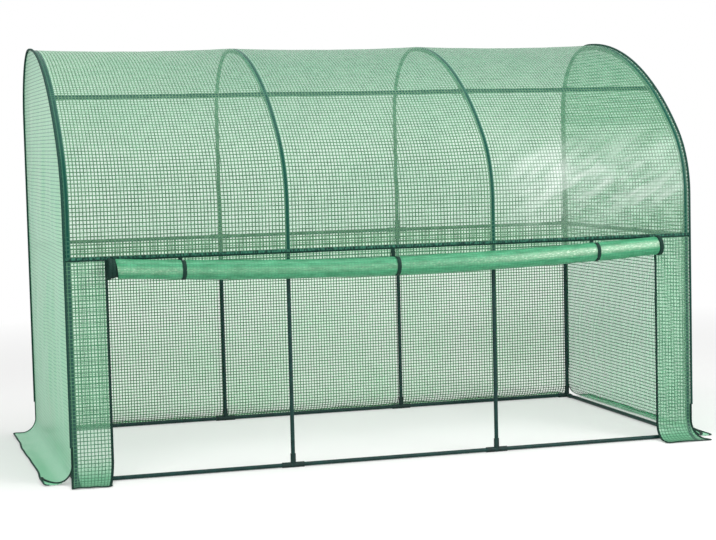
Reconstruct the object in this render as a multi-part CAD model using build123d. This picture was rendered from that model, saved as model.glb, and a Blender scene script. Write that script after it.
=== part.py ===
from build123d import *
from math import acos, asin, cos, degrees, radians, sin, sqrt
import os

os.makedirs("parts", exist_ok=True)

# Lean-to film greenhouse, in millimetres.
# X runs along the wall that it stands against, the front faces -Y, and Z is up from the ground.

# Driving dimensions of the frame, between tube centres
BAY_LENGTH = 1000
BAY_COUNT = 3
DEPTH = 1500
BAR_HEIGHT = 1000
UPRIGHT_ABOVE_BAR = 200
ROOF_RISE = 770
FRONT_BEND_TURN = 42
BACK_BEND_RADIUS = 331
ROOF_BAR_SETBACK = 370

# Tubes and the moulded connectors that hold them
TUBE_DIAMETER = 19
TUBE_WALL = 0.8
SOCKET_CLEARANCE = 0.15
SOCKET_WALL = 2.85
SOCKET_REACH = 52
HUB_RISE = 0.8
TUBE_STOP = 16
FOOT_FLAT = 0.5

# Cover film, its skirt, its tapes and its edge piping
FILM_THICKNESS = 1.5
COVER_SLACK = 0.3
SKIRT_BEND = 85
SKIRT_HEM = 45
CORNER_SLIT = 165
TAPE_THICKNESS = 1.2
ZIP_TAPE_WIDTH = 12
SEAM_BAND_WIDTH = 18
PIPING_DIAMETER = 8
TRIM_GAP = 0.3

# Rolled door and its ties
FRONT_STRIP_WIDTH = 172
ROLL_DIAMETER = 90
ROLL_CORE_DIAMETER = 34
ROLL_END_DROP = 42
ROLL_SAG = 44
ROLL_OVERLAP = 7
BINDING_TURN_LENGTH = 16
BINDING_TURN_STEP = 2.5
LEFT_BINDING_TURNS = 3
RIGHT_BINDING_TURNS = 1
TIE_WIDTH = 15
TIE_THICKNESS = 1.5
TIE_GAP = 0.7

# Tube and socket sizes
tube_radius = TUBE_DIAMETER / 2
bore_radius = tube_radius + SOCKET_CLEARANCE
socket_radius = bore_radius + SOCKET_WALL
hub_radius = socket_radius + HUB_RISE
foot_height = socket_radius - FOOT_FLAT

# Frame places
front_y = -DEPTH / 2
back_y = DEPTH / 2
half_length = BAY_LENGTH * BAY_COUNT / 2
hoop_places = [index * BAY_LENGTH - half_length for index in range(BAY_COUNT + 1)]
bay_places = [index * BAY_LENGTH - half_length + BAY_LENGTH / 2 for index in range(BAY_COUNT)]

# A hoop stands upright, bends on two tangent arcs until it is level, and turns down at the back.
turn_cos = cos(radians(FRONT_BEND_TURN))
turn_sin = sin(radians(FRONT_BEND_TURN))
bend_height = BAR_HEIGHT + UPRIGHT_ABOVE_BAR
ridge_height = bend_height + ROOF_RISE
ridge_run = DEPTH - BACK_BEND_RADIUS
ridge_y = front_y + ridge_run
arc_share = turn_cos + turn_sin - 1
front_bend_radius = (turn_cos * ROOF_RISE - ridge_run * (1 - turn_sin)) / arc_share
roof_radius = (ridge_run * turn_sin - ROOF_RISE * (1 - turn_cos)) / arc_share
front_bend_centre = (front_y + front_bend_radius, bend_height)
roof_centre = (ridge_y, ridge_height - roof_radius)
back_bend_centre = (ridge_y, ridge_height - BACK_BEND_RADIUS)

# The roof bar crosses the hoops on the roof arc.
roof_bar_y = front_y + ROOF_BAR_SETBACK
roof_bar_angle = 180 - degrees(acos((ridge_y - roof_bar_y) / roof_radius))
roof_bar_height = roof_centre[1] + roof_radius * sin(radians(roof_bar_angle))
stop_angle = degrees(TUBE_STOP / roof_radius)
reach_angle = degrees(SOCKET_REACH / roof_radius)

# The cover lies on the connectors, on the outside of the frame.
film_inside = hub_radius + COVER_SLACK
film_outside = film_inside + FILM_THICKNESS
front_film_y = front_y - film_inside
front_face_y = front_y - film_outside
end_film_x = half_length + film_inside
end_face_x = half_length + film_outside
door_half = half_length - FRONT_STRIP_WIDTH
seam_low = BAR_HEIGHT - SEAM_BAND_WIDTH / 2

# The rolled door hangs in front of its ties on one long sagging arc.
roll_radius = ROLL_DIAMETER / 2
tie_inside = roll_radius + TIE_GAP
tie_outside = tie_inside + TIE_THICKNESS
roll_y = front_face_y - TRIM_GAP - tie_outside
roll_half = door_half + ROLL_OVERLAP
roll_end_height = BAR_HEIGHT - ROLL_END_DROP
sag_radius = (roll_half**2 + ROLL_SAG**2) / (2 * ROLL_SAG)
sag_centre_height = roll_end_height - ROLL_SAG + sag_radius


def across(x):
    """The upright plane of a hoop at x: local x is +Y and local y is +Z."""
    return Plane(origin=(x, 0, 0), x_dir=(0, 1, 0), z_dir=(1, 0, 0))


def along(y):
    """The upright plane along the wall at y: local x is +X and local y is +Z."""
    return Plane(origin=(0, y, 0), x_dir=(1, 0, 0), z_dir=(0, -1, 0))


def rod(path, radius):
    """A round bar swept along a path."""
    return sweep(Plane(origin=path @ 0, z_dir=path % 0) * Circle(radius), path=path)


def tube(path):
    """A frame tube along a path."""
    section = Circle(tube_radius) - Circle(tube_radius - TUBE_WALL)
    return sweep(Plane(origin=path @ 0, z_dir=path % 0) * section, path=path)


def straight_tube(start, end):
    """A frame tube between two connector centres, cut to the stops in their sockets."""
    whole = Line(start, end)
    stop = TUBE_STOP / whole.length
    return tube(Line(whole @ stop, whole @ (1 - stop)))


def front_bow(x):
    """The bow from the front cross to the roof bar: upright, first bend and start of the roof."""
    upright = Line((front_y, BAR_HEIGHT + TUBE_STOP), (front_y, bend_height))
    bend = CenterArc(front_bend_centre, front_bend_radius, 180, -FRONT_BEND_TURN)
    roof_turn = 180 - FRONT_BEND_TURN - roof_bar_angle - stop_angle
    roof = CenterArc(roof_centre, roof_radius, 180 - FRONT_BEND_TURN, -roof_turn)
    return tube(across(x) * Wire([upright, bend, roof]))


def roof_bow(x):
    """The bow from the roof bar over the ridge and down to the back cross."""
    start_angle = roof_bar_angle - stop_angle
    roof = CenterArc(roof_centre, roof_radius, start_angle, 90 - start_angle)
    bend = CenterArc(back_bend_centre, BACK_BEND_RADIUS, 90, -90)
    upright = Line((back_y, back_bend_centre[1]), (back_y, BAR_HEIGHT + TUBE_STOP))
    return tube(across(x) * Wire([roof, bend, upright]))


def arm(centre, axis, start, end):
    """The outside of a connector's arm along one axis, between two distances from the centre."""
    body = Cylinder(socket_radius, end - start, align=(Align.CENTER, Align.CENTER, Align.MIN))
    return Plane(origin=centre, z_dir=axis).offset(start) * body


def arms(centre, directions):
    """The arms about a ball-shaped hub. Two opposite arms are one straight sleeve."""
    body = Pos(*centre) * Sphere(hub_radius)
    for axis in ((1, 0, 0), (0, 1, 0), (0, 0, 1)):
        ahead = SOCKET_REACH if axis in directions else 0
        behind = SOCKET_REACH if tuple(-step for step in axis) in directions else 0
        if ahead or behind:
            body += arm(centre, axis, -behind, ahead)
    return body


def socket_cut(centre, direction):
    """The bore of one straight arm, from its tube stop to its mouth."""
    bore_depth = SOCKET_REACH - TUBE_STOP
    bore = Cylinder(bore_radius, bore_depth, align=(Align.CENTER, Align.CENTER, Align.MIN))
    return Plane(origin=centre, z_dir=direction).offset(TUBE_STOP) * bore


def connector(centre, directions):
    """A moulded connector: arms about a hub, with a blind socket in each arm."""
    body = arms(centre, directions)
    for direction in directions:
        body -= socket_cut(centre, direction)
    return body


def roof_cross(x, directions):
    """A connector whose sleeve follows the bow, with a straight arm for each roof bar."""
    centre = (x, roof_bar_y, roof_bar_height)
    sleeve_line = CenterArc(roof_centre, roof_radius, roof_bar_angle + reach_angle, -2 * reach_angle)
    body = arms(centre, directions) + rod(across(x) * sleeve_line, socket_radius)
    bore_turn = reach_angle - stop_angle
    front_bore = CenterArc(roof_centre, roof_radius, roof_bar_angle + stop_angle, bore_turn)
    back_bore = CenterArc(roof_centre, roof_radius, roof_bar_angle - stop_angle, -bore_turn)
    body -= rod(across(x) * front_bore, bore_radius)
    body -= rod(across(x) * back_bore, bore_radius)
    for direction in directions:
        body -= socket_cut(centre, direction)
    return body


def bar_directions(x):
    """The directions along the wall in which bars leave the hoop at x."""
    directions = []
    if x > hoop_places[0]:
        directions.append((-1, 0, 0))
    if x < hoop_places[-1]:
        directions.append((1, 0, 0))
    return directions


def end_directions(x, inward):
    """The direction of the side bar, on the end hoops alone."""
    at_end = x in (hoop_places[0], hoop_places[-1])
    return [inward] if at_end else []


def foot_connectors(y, inward):
    """The connectors at the ground along one side, each with a flat underside."""
    ground_cut = Box(4 * SOCKET_REACH, 4 * SOCKET_REACH, SOCKET_REACH, align=(Align.CENTER, Align.CENTER, Align.MAX))
    feet = []
    for x in hoop_places:
        directions = [(0, 0, 1)] + bar_directions(x) + end_directions(x, inward)
        feet.append(connector((x, y, foot_height), directions) - Pos(x, y, 0) * ground_cut)
    return Compound(feet)


def cross_connectors(y, inward):
    """The connectors at the height of the middle bars along one side."""
    crosses = []
    for x in hoop_places:
        directions = [(0, 0, 1), (0, 0, -1)] + bar_directions(x) + end_directions(x, inward)
        crosses.append(connector((x, y, BAR_HEIGHT), directions))
    return Compound(crosses)


def bar_row(y, z):
    """One straight bar in each bay."""
    bays = zip(hoop_places, hoop_places[1:])
    return Compound([straight_tube((start, y, z), (end, y, z)) for start, end in bays])


def side_bars(z):
    """One bar from front to back at each end."""
    ends = (hoop_places[0], hoop_places[-1])
    return Compound([straight_tube((x, front_y, z), (x, back_y, z)) for x in ends])


def cover_line(offset, foot):
    """The hoop's outline moved outwards, from the front foot over the roof to the back foot."""
    front = Line((front_y - offset, foot), (front_y - offset, bend_height))
    front_bend = CenterArc(front_bend_centre, front_bend_radius + offset, 180, -FRONT_BEND_TURN)
    roof = CenterArc(roof_centre, roof_radius + offset, 180 - FRONT_BEND_TURN, FRONT_BEND_TURN - 90)
    back_bend = CenterArc(back_bend_centre, BACK_BEND_RADIUS + offset, 90, -90)
    back = Line((back_y + offset, back_bend_centre[1]), (back_y + offset, foot))
    return [front, front_bend, roof, back_bend, back]


def roof_sheet():
    """The film from the front seam over the roof to the back seam."""
    front_edge = Line((front_y - film_outside, BAR_HEIGHT), (front_y - film_inside, BAR_HEIGHT))
    back_edge = Line((back_y + film_inside, BAR_HEIGHT), (back_y + film_outside, BAR_HEIGHT))
    outline = cover_line(film_outside, BAR_HEIGHT) + cover_line(film_inside, BAR_HEIGHT)
    section = make_face(outline + [front_edge, back_edge])
    return extrude(across(-end_film_x) * section, amount=2 * end_film_x)


def skirt_line(offset, top):
    """One face of a hanging sheet: straight down, round the bend at its foot and flat along the hem."""
    fall = Line((offset, top), (offset, SKIRT_BEND))
    bend = CenterArc((SKIRT_BEND, SKIRT_BEND), SKIRT_BEND - offset, 180, 90)
    hem = Line((SKIRT_BEND, offset), (SKIRT_BEND + SKIRT_HEM, offset))
    return [fall, bend, hem]


def hanging_sheet(corner, outward, width, top, offset=0, thickness=FILM_THICKNESS):
    """A sheet that hangs to the ground and turns outwards, as wide as width, starting at corner."""
    face = offset + thickness
    top_edge = Line((offset, top), (face, top))
    hem_edge = Line((SKIRT_BEND + SKIRT_HEM, offset), (SKIRT_BEND + SKIRT_HEM, face))
    section = make_face(skirt_line(offset, top) + skirt_line(face, top) + [top_edge, hem_edge])
    side = Vector(*outward).cross(Vector(0, 0, 1))
    return extrude(Plane(origin=corner, x_dir=outward, z_dir=side) * section, amount=width)


def end_sheet(x_inside, outward, corner_y):
    """An end wall: the shape of the hoop above the middle bars, and a hanging sheet below."""
    floor_line = Line((front_y - film_outside, BAR_HEIGHT), (back_y + film_outside, BAR_HEIGHT))
    shape = make_face(cover_line(film_outside, BAR_HEIGHT) + [floor_line])
    upper = extrude(across(x_inside) * shape, amount=outward[0] * FILM_THICKNESS)
    lower = hanging_sheet((x_inside, corner_y, 0), outward, DEPTH + 2 * film_outside, BAR_HEIGHT)
    return upper + lower


def edge_piping(side):
    """The cord-like binding sewn along the corner between the roof and one end wall."""
    corner_step = (PIPING_DIAMETER / 2 + TRIM_GAP) / sqrt(2)
    path = Wire(cover_line(film_outside + corner_step, CORNER_SLIT))
    return rod(across(side * (end_face_x + corner_step)) * path, PIPING_DIAMETER / 2)


def roll_angle(x):
    """The turn from the bottom of the sagging arc to its point at x, in degrees."""
    return degrees(asin(x / sag_radius))


def roll_arc(start_x, end_x):
    """The centre line of the rolled door between two places along it."""
    start = roll_angle(start_x)
    turn = roll_angle(end_x) - start
    return along(roll_y) * CenterArc((0, sag_centre_height), sag_radius, 270 + start, turn)


def roll_ring(start_x, end_x, outer_radius, inner_radius):
    """A round sleeve about the centre line of the rolled door."""
    path = roll_arc(start_x, end_x)
    section = Circle(outer_radius) - Circle(inner_radius)
    return sweep(Plane(origin=path @ 0, z_dir=path % 0) * section, path=path)


def binding_turns(end_x, inward, turns):
    """The bound door edge, wound up with the roll so that its turns stand out in steps."""
    rings = Part()
    for turn in range(turns):
        near = end_x + inward * BINDING_TURN_LENGTH * turn
        far = near + inward * BINDING_TURN_LENGTH
        radius = roll_radius - BINDING_TURN_STEP * turn
        rings += roll_ring(min(near, far), max(near, far), radius, ROLL_CORE_DIAMETER / 2)
    return rings


def door_sheet():
    """The stretch of the door that hangs free between its seam and the roll."""
    edge_height = sag_centre_height - sqrt(sag_radius**2 - door_half**2)
    left = Line((-door_half, edge_height), (-door_half, BAR_HEIGHT))
    top = Line((-door_half, BAR_HEIGHT), (door_half, BAR_HEIGHT))
    right = Line((door_half, BAR_HEIGHT), (door_half, edge_height))
    middle_height = sag_centre_height - sag_radius
    bottom = ThreePointArc((door_half, edge_height), (0, middle_height), (-door_half, edge_height))
    return extrude(along(front_film_y) * make_face([left, top, right, bottom]), amount=FILM_THICKNESS)


def door_tie(x):
    """A strap round the roll, with a tail that goes up behind the roll to the seam."""
    roll_height = sag_centre_height - sqrt(sag_radius**2 - x**2)
    tail_top = seam_low - roll_height
    meeting_angle = degrees(acos(tie_inside / tie_outside))
    meeting_height = tie_outside * sin(radians(meeting_angle))
    tail_back = Line((tie_outside, tail_top), (tie_outside, 0))
    loop = CenterArc((0, 0), tie_outside, 0, meeting_angle - 360)
    tail_front = Line((tie_inside, meeting_height), (tie_inside, tail_top))
    tail_end = Line((tie_inside, tail_top), (tie_outside, tail_top))
    section = make_face([tail_back, loop, tail_front, tail_end]) - Circle(tie_inside)
    start = Plane(origin=(x - TIE_WIDTH / 2, roll_y, roll_height), x_dir=(0, 1, 0), z_dir=(1, 0, 0))
    return extrude(start * section, amount=TIE_WIDTH)


def zip_tape(corner_x):
    """The bound zip edge of a front strip, from the seam to the hem."""
    corner = (corner_x, front_film_y, 0)
    return hanging_sheet(corner, (0, -1, 0), ZIP_TAPE_WIDTH, seam_low, FILM_THICKNESS, TAPE_THICKNESS)


# Hoops
for hoop_name, x in zip(("left_end", "left_middle", "right_middle", "right_end"), hoop_places):
    front_post = straight_tube((x, front_y, foot_height), (x, front_y, BAR_HEIGHT))
    back_post = straight_tube((x, back_y, foot_height), (x, back_y, BAR_HEIGHT))
    export_step(front_post, f"parts/{hoop_name}_front_post.step")
    export_step(front_bow(x), f"parts/{hoop_name}_front_bow.step")
    export_step(roof_bow(x), f"parts/{hoop_name}_roof_bow.step")
    export_step(back_post, f"parts/{hoop_name}_back_post.step")

# Bars
export_step(bar_row(front_y, foot_height), "parts/front_bottom_bars.step")
export_step(bar_row(front_y, BAR_HEIGHT), "parts/front_middle_bars.step")
export_step(bar_row(roof_bar_y, roof_bar_height), "parts/roof_bars.step")
export_step(bar_row(back_y, BAR_HEIGHT), "parts/back_middle_bars.step")
export_step(bar_row(back_y, foot_height), "parts/back_bottom_bars.step")
export_step(side_bars(foot_height), "parts/side_bottom_bars.step")
export_step(side_bars(BAR_HEIGHT), "parts/side_middle_bars.step")

# Connectors
roof_crosses = Compound([roof_cross(x, bar_directions(x)) for x in hoop_places])
export_step(foot_connectors(front_y, (0, 1, 0)), "parts/front_foot_connectors.step")
export_step(foot_connectors(back_y, (0, -1, 0)), "parts/back_foot_connectors.step")
export_step(cross_connectors(front_y, (0, 1, 0)), "parts/front_cross_connectors.step")
export_step(cross_connectors(back_y, (0, -1, 0)), "parts/back_cross_connectors.step")
export_step(roof_crosses, "parts/roof_cross_connectors.step")

# Cover sheets
back_corner = (-end_film_x, back_y + film_inside, 0)
left_strip_corner = (-door_half, front_film_y, 0)
right_strip_corner = (end_film_x, front_film_y, 0)
strip_width = end_film_x - door_half
back_sheet = hanging_sheet(back_corner, (0, 1, 0), 2 * end_film_x, BAR_HEIGHT)
left_strip = hanging_sheet(left_strip_corner, (0, -1, 0), strip_width, BAR_HEIGHT)
right_strip = hanging_sheet(right_strip_corner, (0, -1, 0), strip_width, BAR_HEIGHT)
export_step(roof_sheet(), "parts/roof_cover.step")
export_step(back_sheet, "parts/back_cover.step")
export_step(end_sheet(-end_film_x, (-1, 0, 0), front_face_y), "parts/left_end_cover.step")
export_step(end_sheet(end_film_x, (1, 0, 0), -front_face_y), "parts/right_end_cover.step")
export_step(left_strip, "parts/left_front_cover.step")
export_step(right_strip, "parts/right_front_cover.step")

# Rolled door
left_roll_end = -roll_half + BINDING_TURN_LENGTH * LEFT_BINDING_TURNS
right_roll_end = roll_half - BINDING_TURN_LENGTH * RIGHT_BINDING_TURNS
rolled_door = roll_ring(left_roll_end, right_roll_end, roll_radius, ROLL_CORE_DIAMETER / 2)
left_binding = binding_turns(-roll_half, 1, LEFT_BINDING_TURNS)
right_binding = binding_turns(roll_half, -1, RIGHT_BINDING_TURNS)
export_step(door_sheet(), "parts/door_film.step")
export_step(rolled_door, "parts/rolled_door.step")
export_step(Compound([left_binding, right_binding]), "parts/door_edge_bindings.step")
for tie_name, x in zip(("left", "middle", "right"), bay_places):
    export_step(door_tie(x), f"parts/{tie_name}_door_tie.step")

# Tapes and piping
seam_band = Box(2 * end_film_x, TAPE_THICKNESS, SEAM_BAND_WIDTH, align=(Align.CENTER, Align.MAX, Align.CENTER))
export_step(Pos(0, front_face_y, BAR_HEIGHT) * seam_band, "parts/door_seam_band.step")
export_step(zip_tape(-door_half), "parts/left_zip_tape.step")
export_step(zip_tape(door_half + ZIP_TAPE_WIDTH), "parts/right_zip_tape.step")
export_step(edge_piping(-1), "parts/left_edge_piping.step")
export_step(edge_piping(1), "parts/right_edge_piping.step")
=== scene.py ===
import math

import bpy
import numpy as np
from mathutils import Matrix, Vector
from mathutils.geometry import delaunay_2d_cdt


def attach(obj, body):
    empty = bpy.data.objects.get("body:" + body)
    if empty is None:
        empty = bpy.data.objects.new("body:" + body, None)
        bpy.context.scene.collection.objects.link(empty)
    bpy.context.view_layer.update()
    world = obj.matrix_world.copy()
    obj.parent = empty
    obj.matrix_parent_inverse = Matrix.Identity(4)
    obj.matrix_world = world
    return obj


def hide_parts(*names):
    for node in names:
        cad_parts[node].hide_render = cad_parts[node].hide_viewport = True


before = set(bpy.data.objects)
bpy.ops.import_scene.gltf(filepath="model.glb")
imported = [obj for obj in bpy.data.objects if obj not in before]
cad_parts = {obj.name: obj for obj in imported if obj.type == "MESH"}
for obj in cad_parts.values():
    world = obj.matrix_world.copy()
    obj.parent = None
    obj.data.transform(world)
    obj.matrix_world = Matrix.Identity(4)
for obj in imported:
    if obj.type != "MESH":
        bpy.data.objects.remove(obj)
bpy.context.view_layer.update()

studio = bpy.context.scene
sides = ((-1, "left"), (1, "right"))

# The greenhouse frame, in metres, with the same values as its drawing
half_length = 1.5
bay_length = 1.0
bay_places = (-1.0, 0.0, 1.0)
half_depth = 0.75
bar_height = 1.0
bend_height = 1.2
roof_rise = 0.77
front_turn = math.radians(42)
back_bend_radius = 0.331
roof_bar_setback = 0.37
tube_radius = 0.0095

# The film cover
film_offset = 0.01435
film_face = 0.0151
film_step = 0.0175
skirt_bend = 0.085
skirt_radius = skirt_bend - 0.0008
skirt_hem = 0.045
ground_gap = 0.0018
corner_slit = 0.165
corner_step = 0.00304
corner_points = 8
foot_drag = {-1: (0.032, 0.016), 1: (0.0, 0.045)}

# Its reinforcing threads
thread_gap = 0.0156
roof_thread_gap = 0.0182
wall_thread_gap = 0.017
roof_thread = 0.0048
back_thread = 0.0044
wall_thread = 0.0038
shortest_thread = 0.015

# The rolled door
door_half = 1.328
roll_y = -0.8126
roll_radius = 0.045
roll_core = 0.017
roll_end_height = 0.958
roll_sag = 0.044
roll_half = 1.335
# Where the painted highlight on the rolled door runs round it, and how that place shifts along it
roll_highlight_around = 0.97 * math.pi * roll_radius
roll_highlight_slope = 0.045 * math.pi * roll_radius
binding_turn = 0.016
binding_step = 0.0055
rim_rise = 0.0032

# What is sewn on
seam_width = 0.018
stitch_spacing = 0.0085
stitch_length = 0.0052
zip_tape_inset = 0.006
zip_teeth_inset = 0.0025
zip_stitch_insets = (0.0045, 0.0098)

# What follows from these
ridge_height = bend_height + roof_rise
ridge_y = half_depth - back_bend_radius
ridge_run = ridge_y + half_depth
turn_cos, turn_sin = math.cos(front_turn), math.sin(front_turn)
arc_share = turn_cos + turn_sin - 1
front_bend_radius = (turn_cos * roof_rise - ridge_run * (1 - turn_sin)) / arc_share
roof_radius = (ridge_run * turn_sin - roof_rise * (1 - turn_cos)) / arc_share
roof_turn = math.pi / 2 - front_turn
roof_bar_turn = math.acos((ridge_run - roof_bar_setback) / roof_radius) - front_turn
roof_bar_travel = bend_height - bar_height + (front_bend_radius + film_offset) * front_turn
roof_bar_travel += (roof_radius + film_offset) * roof_bar_turn
end_x = half_length + film_offset
end_y = half_depth + film_offset
lowest_level = skirt_bend - skirt_radius * math.pi / 2 - skirt_hem
sag_radius = (roll_half**2 + roll_sag**2) / (2 * roll_sag)
sag_centre = roll_end_height - roll_sag + sag_radius

# The camera, at the photograph's place and angle
camera_place = (-2.437, -8.5738, 1.4905)
camera_yaw, camera_pitch, camera_roll = 0.2824, 0.0726, -0.0242
sensor_width = 36
focal_pixels = 1764.13
photo_width_pixels = 716


def put_up(name, data):
    """An object with this data, in the scene."""
    made = bpy.data.objects.new(name, data)
    studio.collection.objects.link(made)
    return made


def photo_camera():
    """The camera that sees the greenhouse from the left of its front."""
    level = math.cos(camera_pitch)
    ahead = Vector((math.sin(camera_yaw) * level, math.cos(camera_yaw) * level, -math.sin(camera_pitch)))
    right = Vector((math.cos(camera_yaw), -math.sin(camera_yaw), 0))
    above = right.cross(ahead)
    tilted_right = math.cos(camera_roll) * right + math.sin(camera_roll) * above
    tilted_above = math.cos(camera_roll) * above - math.sin(camera_roll) * right
    data = bpy.data.cameras.new("photo_camera")
    data.sensor_width = sensor_width
    data.lens = sensor_width * focal_pixels / photo_width_pixels
    turned = Matrix((tilted_right, tilted_above, -ahead)).transposed().to_4x4()
    studio.camera = put_up("photo_camera", data)
    studio.camera.matrix_world = Matrix.Translation(camera_place) @ turned


# Small shaping helpers

def eased(share):
    """A share from 0 to 1 that starts and ends gently."""
    share = np.clip(share, 0, 1)
    return share * share * (3 - 2 * share)


def uneven(u, v, length, seed):
    """Soft unevenness between about -1 and 1, in waves of about this length."""
    total = 0
    for turn, start, stretch in np.random.default_rng(seed).uniform(0, 1, (7, 3)):
        wave = (u * math.cos(math.pi * turn) + v * math.sin(math.pi * turn)) / (length * (0.6 + stretch))
        total = total + np.sin(2 * math.pi * (wave + start))
    return np.tanh(total / 2.6)


def hoop_line(travel, offset):
    """Places (y, z) and outward directions along the hoop's outline, from front seam to back seam."""
    turns = (front_turn, roof_turn, math.pi / 2)
    radii = [radius + offset for radius in (front_bend_radius, roof_radius, back_bend_radius)]
    starts = np.cumsum([bend_height - bar_height] + [radius * turn for radius, turn in zip(radii, turns)])
    angle = math.pi
    for start, radius, turn in zip(starts, radii, turns):
        angle = angle - np.clip(travel - start, 0, radius * turn) / radius
    out_y, out_z = np.cos(angle), np.sin(angle)
    before = [travel < starts[1], travel < starts[2]]
    centre_y = np.select(before, [front_bend_radius - half_depth, ridge_y], ridge_y)
    centre_z = np.select(before, [bend_height, ridge_height - roof_radius], ridge_height - back_bend_radius)
    radius = np.select(before, radii[:2], radii[2])
    rise = np.minimum(travel - starts[0], 0) - np.maximum(travel - starts[3], 0)
    return centre_y + radius * out_y, centre_z + radius * out_z + rise, out_y, out_z


def cover_length(offset):
    """The cover's length from the front seam over the roof to the back seam."""
    arcs = (front_bend_radius + offset) * front_turn + (roof_radius + offset) * roof_turn
    back_rise = ridge_height - back_bend_radius - bar_height
    return bend_height - bar_height + arcs + (back_bend_radius + offset) * math.pi / 2 + back_rise


def roll_height(x):
    """The height of the rolled door's centre line."""
    return sag_centre - np.sqrt(sag_radius**2 - x**2)


def hang(level):
    """Way out and height of a hanging film; level is its height if it hung straight down to its hem."""
    around = np.clip(skirt_bend - level, 0, skirt_radius * math.pi / 2)
    out = skirt_radius * (1 - np.cos(around / skirt_radius)) + np.maximum(skirt_bend - level - around, 0)
    return out, np.maximum(level, skirt_bend) - skirt_radius * np.sin(around / skirt_radius) + ground_gap


def laid_out(out):
    """How much of the skirt has turned out, from 0 to 1."""
    return out / (skirt_bend + skirt_hem)


def bay_share(x):
    """How far a place is along its bay, from 0 to 1."""
    return np.clip(np.mod(x + half_length, bay_length) / bay_length, 0, 1)


# Shapes of the film panels: flat places on the cloth to points in the air

def roof_shape(x, travel):
    """The cover over the hoops. It dips a little between them and lies on the roof bar."""
    y, z, out_y, out_z = hoop_line(travel, film_offset)
    bay = bay_share(x)
    on_bar = np.exp(-(((y + half_depth - roof_bar_setback) / 0.07) ** 2)) * (z > 1.5)
    from_seam = eased(travel / 0.35) * eased((cover_length(film_offset) - travel) / 0.35)
    depth = 0.0035 + 0.0075 * from_seam * (1 - on_bar)
    inward = depth * (4 * bay * (1 - bay)) ** 0.8
    inward = inward + 0.0009 * uneven(x, travel, 0.16, 3) * np.sin(math.pi * bay)
    near_seam = np.exp(-travel / 0.05) * eased(travel / 0.012)
    inward = inward + 0.0011 * near_seam * uneven(x, travel * 0.3, 0.075, 5)
    return np.stack([x, y - inward * out_y, z - inward * out_z], -1)


def end_shape(side):
    """An end wall: flat above, out at the foot, with a little billow."""
    def shape(y, level):
        out, height = hang(level)
        edge = np.minimum(end_y - np.abs(y), 1)
        billow = eased(edge / 0.25) * eased((level - 0.05) / 0.4) * eased((1.9 - level) / 0.5)
        held = 1 - 0.75 * np.exp(-(((level - bar_height) / 0.1) ** 2))
        fold = 0.003 * uneven(y, level * 0.12, 0.17, 13 + side) * eased((bar_height - level) / 0.5)
        drawn = 0.0022 * uneven(y + 0.5 * level, 0.3 * level, 0.14, 15 + side)
        swell = (0.0075 + 0.005 * uneven(y, level, 0.5, 11 + side) + fold + drawn) * billow * held
        lean = out * (0.93 + 0.05 * uneven(y, level * 0.2, 0.6, 21 + side))
        height = height + 0.003 * laid_out(out) * (1 + uneven(y, out, 0.3, 23 + side))
        return np.stack([side * (end_x + lean + swell), y, height], -1)
    return shape


def strip_shape(side):
    """A front strip between the corner and the door, dragged outwards at its foot."""
    door_drag, corner_drag = foot_drag[side]

    def shape(x, level):
        out, height = hang(level)
        across = (side * x - door_half) / (end_x - door_half)
        drag = (corner_drag * eased(across) + door_drag * eased(1 - across)) * laid_out(out) ** 0.8
        pucker = 0.0022 * uneven(x, level * 0.35, 0.09, 31 + side) * eased(across / 0.3)
        pucker = pucker * eased((1 - across) / 0.2) * eased((bar_height - level) / 0.05)
        wave = 0.97 + 0.03 * uneven(x, level, 0.2, 33 + side)
        height = height + 0.002 * laid_out(out) * (1 + uneven(x, out, 0.12, 35 + side))
        return np.stack([x + side * drag, -end_y - out * wave - pucker, height], -1)
    return shape


def back_shape(x, level):
    """The back sheet, from the back seam to the ground."""
    out, height = hang(level)
    slack = 0.003 * uneven(x, level, 0.4, 41) * np.sin(math.pi * bay_share(x))
    slack = slack * eased((bar_height - level) / 0.2)
    wave = 0.96 + 0.04 * uneven(x, level * 0.2, 0.5, 43)
    height = height + 0.003 * laid_out(out) * (1 + uneven(x, out, 0.25, 45))
    return np.stack([x, end_y + out * wave + np.abs(slack), height], -1)


def door_shape(x, level):
    """The stretch of door between seam and roll, puckered by the ties' pull."""
    free = eased((bar_height - 0.012 - level) / 0.03)
    slack = 0.002 + 0.0042 * uneven(x, level * 0.4, 0.085, 51)
    return np.stack([x, -end_y + np.clip(slack, -0.002, 0.008) * free, level], -1)


# Meshes

def plain_mesh(name, points, faces, finish, flat=None):
    """A smooth mesh piece from its points and faces, with the flat cloth as its map."""
    mesh = bpy.data.meshes.new(name)
    mesh.from_pydata(np.asarray(points).tolist(), [], np.asarray(faces).tolist())
    mesh.materials.append(finish)
    mesh.shade_smooth()
    if flat is not None:
        corner = np.zeros(len(mesh.loops), int)
        mesh.loops.foreach_get("vertex_index", corner)
        layer = mesh.uv_layers.new(name="cloth")
        layer.data.foreach_set("uv", np.asarray(flat, np.float32)[corner].ravel())
    return put_up(name, mesh)


def ring_faces(rows, columns):
    """Quads between the rows of a grid of points whose columns close into rings."""
    row, column = np.meshgrid(np.arange(rows - 1), np.arange(columns), indexing="ij")
    following = (column + 1) % columns
    near, far = row * columns, (row + 1) * columns
    return np.stack([near + column, near + following, far + following, far + column], -1).reshape(-1, 4)


def outward(points, directions):
    """Directions turned to point away from the inside of the greenhouse, and up from a skirt."""
    middle = np.zeros_like(points)
    middle[..., 1] = 0.1
    middle[..., 2] = np.minimum(0.85, points[..., 2] - 0.5)
    return directions * np.sign((directions * (points - middle)).sum(-1, keepdims=True))


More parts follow.
